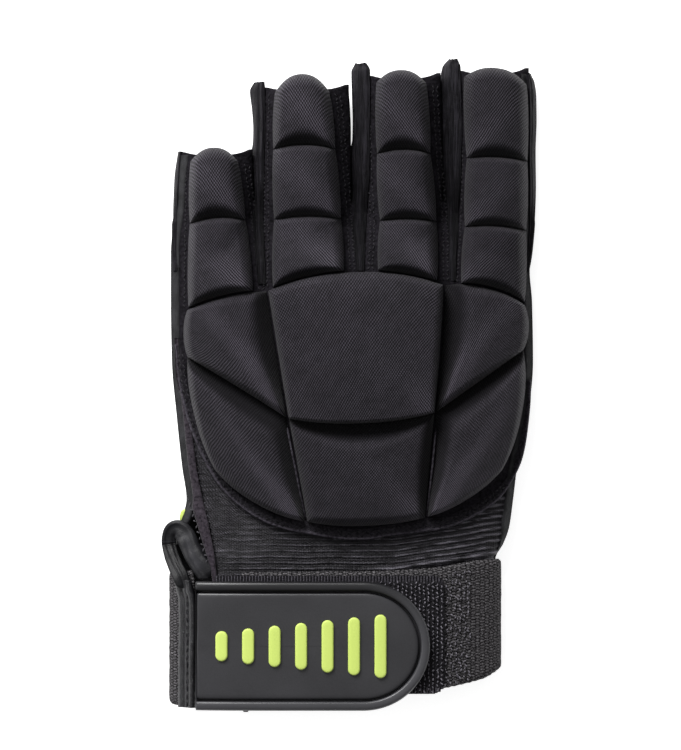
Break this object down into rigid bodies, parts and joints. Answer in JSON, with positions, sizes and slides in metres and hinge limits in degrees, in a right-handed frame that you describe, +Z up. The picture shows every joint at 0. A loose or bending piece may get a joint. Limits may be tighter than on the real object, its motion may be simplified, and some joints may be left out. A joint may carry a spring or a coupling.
{
  "type": "field hockey glove",
  "caption": "Half-finger padded glove for the left hand: foam pads on the back, ribbed wrist panel, open slit, elastic strap and rubber pull tab; it lies palm down.",
  "frame": {"origin": "on the surface that the glove lies on, under the middle of its outline", "axes": "+Z up out of the back of the hand, +Y towards the fingertips, +X towards the thumb side"},
  "size_m": [0.1132, 0.1957, 0.0284],
  "materials": {
    "palm_leather": "matt synthetic leather",
    "base_knit": "flat dark knit",
    "pad_knit": "diagonal twill-like knit over foam",
    "ribbed_knit": "ribbed stretch knit with a light sheen",
    "side_felt": "brushed felt-like knit",
    "trim_leather": "smooth synthetic leather with a soft sheen",
    "strap_elastic": "woven elastic",
    "loop_pile": "loop pile",
    "tab_rubber": "satin moulded rubber",
    "lime_accent": "matt lime"
  },
  "bodies": {
    "root": {"back_base": "base_knit", "back_index": "base_knit", "back_middle": "base_knit", "back_pinky": "base_knit", "back_ring": "base_knit", "edge_index": "trim_leather", "edge_pinky": "trim_leather", "grip_mark_1": "lime_accent", "grip_mark_2": "lime_accent", "grip_mark_3": "lime_accent", "grip_mark_4": "lime_accent", "grip_mark_5": "lime_accent", "grip_mark_6": "lime_accent", "grip_mark_7": "lime_accent", "gusset_index": "trim_leather", "gusset_middle": "trim_leather", "gusset_ring": "trim_leather", "hem_tag": "trim_leather", "loop_patch": "loop_pile", "pad_centre_lower": "pad_knit", "pad_index_1": "pad_knit", "pad_index_2": "pad_knit", "pad_index_3": "pad_knit", "pad_index_lower": "pad_knit", "pad_index_upper": "pad_knit", "pad_knuckle": "pad_knit", "pad_middle_1": "pad_knit", "pad_middle_2": "pad_knit", "pad_middle_3": "pad_knit", "pad_pinky_1": "pad_knit", "pad_pinky_2": "pad_knit", "pad_pinky_lower": "pad_knit", "pad_pinky_upper": "pad_knit", "pad_ring_1": "pad_knit", "pad_ring_2": "pad_knit", "pad_ring_3": "pad_knit", "palm": "palm_leather", "palm_cuff": "palm_leather", "palm_index": "palm_leather", "palm_middle": "palm_leather", "palm_pinky": "palm_leather", "palm_ring": "palm_leather", "panel_rim": "base_knit", "pull_tab": "tab_rubber", "rib_panel": "ribbed_knit", "side_band": "side_felt", "side_tag": "lime_accent", "slit_binding": "trim_leather", "tab_edge": "trim_leather", "thumb_binding": "trim_leather", "wrist_strap": "strap_elastic"}
  },
  "joints": []
}
